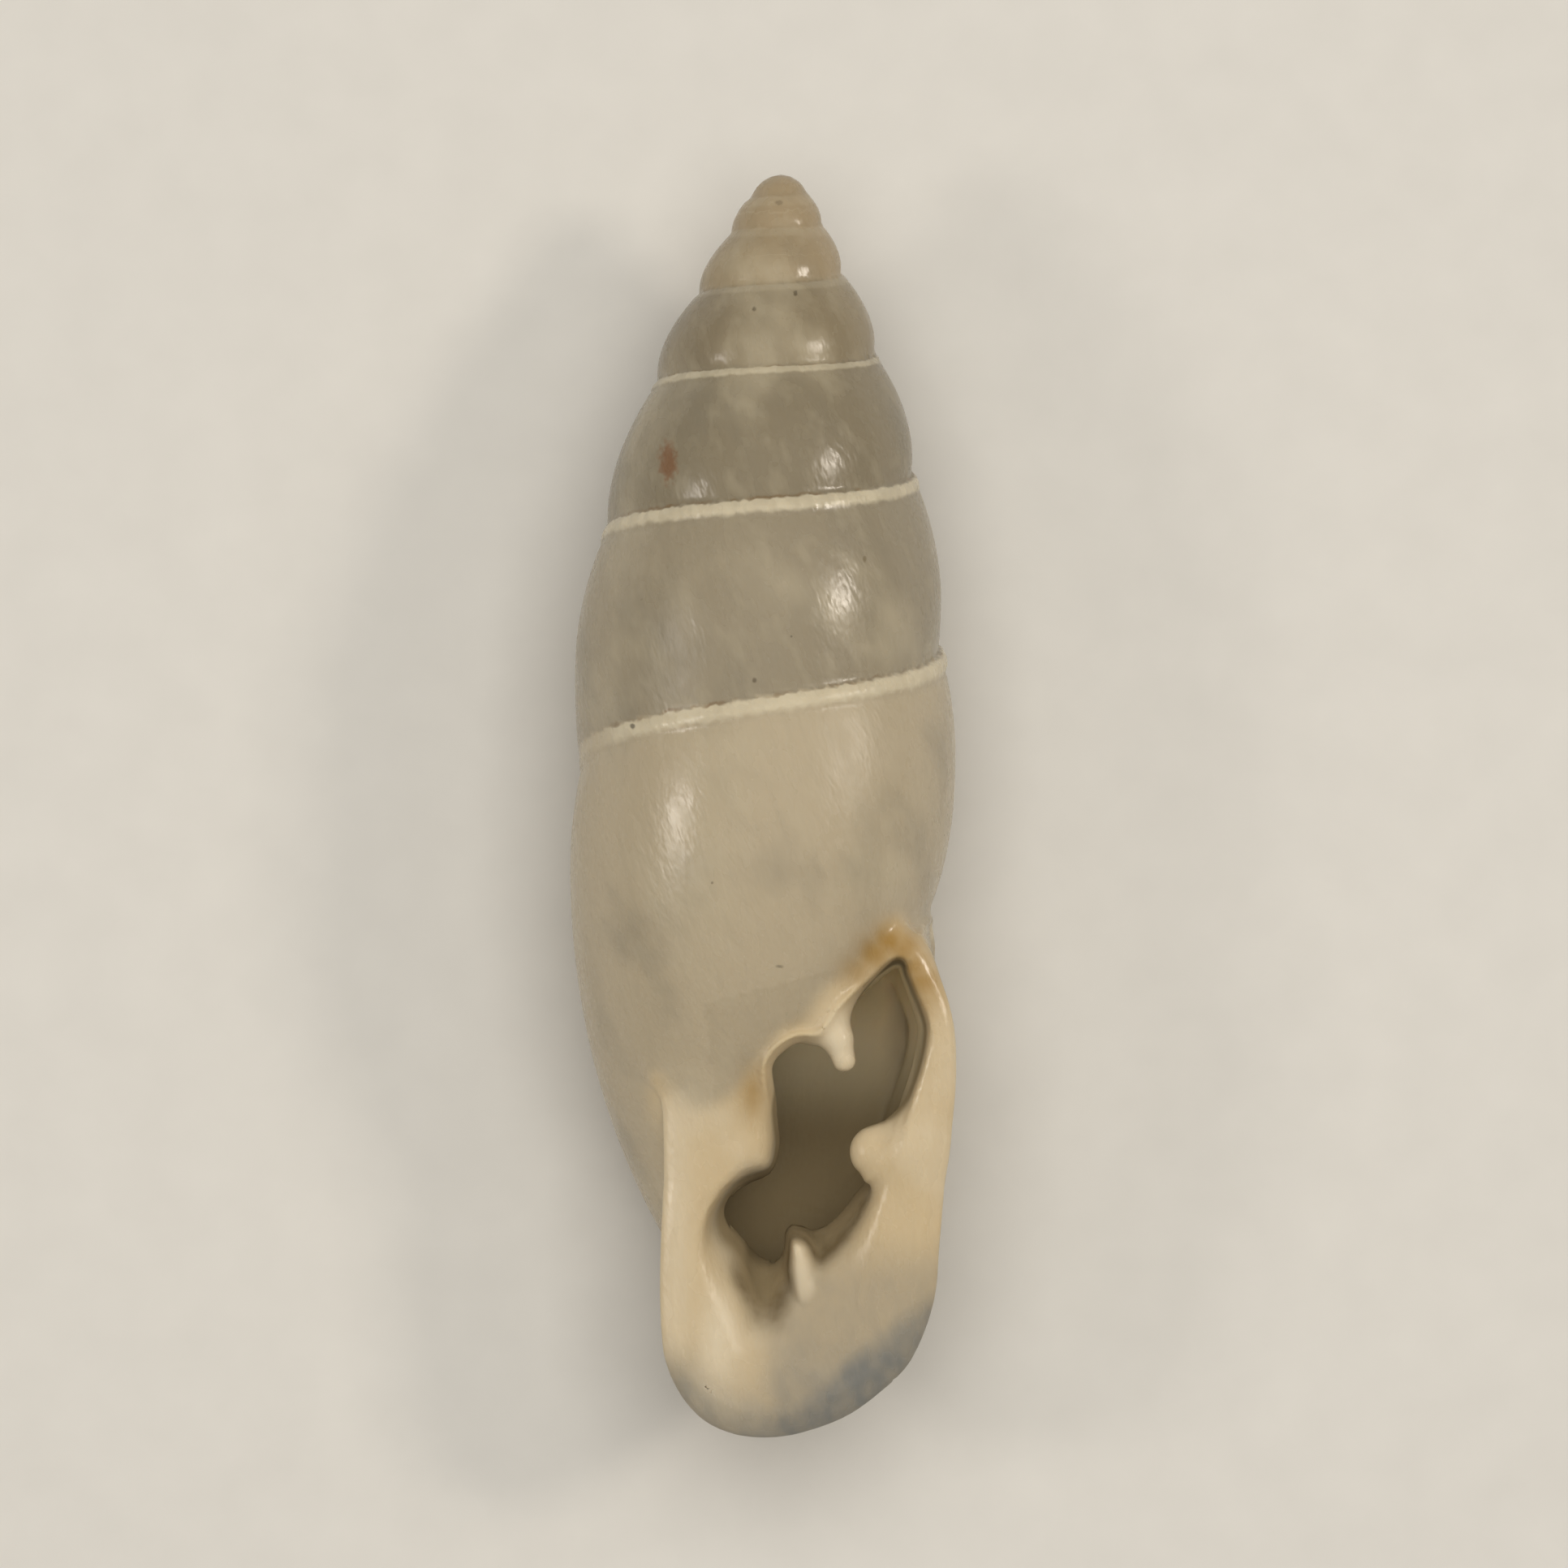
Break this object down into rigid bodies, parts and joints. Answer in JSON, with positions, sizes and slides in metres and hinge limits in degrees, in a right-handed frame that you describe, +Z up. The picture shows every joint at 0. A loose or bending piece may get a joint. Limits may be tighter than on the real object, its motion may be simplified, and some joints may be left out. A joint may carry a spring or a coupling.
{
  "type": "snail shell",
  "caption": "Slender, spindle-shaped land-snail shell with a tall toothed aperture and a flared pale lip, lying on its back with the aperture up.",
  "frame": {"origin": "on the ground under the middle of the shell's outline as it lies on its back", "axes": "+Z up out of the aperture, +Y along the shell towards the apex, +X to the side of the outer lip"},
  "size_m": [0.0066, 0.022, 0.0061],
  "materials": {
    "shell": "translucent grey-beige shell wall with a cream lip, glossy"
  },
  "bodies": {
    "root": {"shell": "shell"}
  },
  "joints": []
}
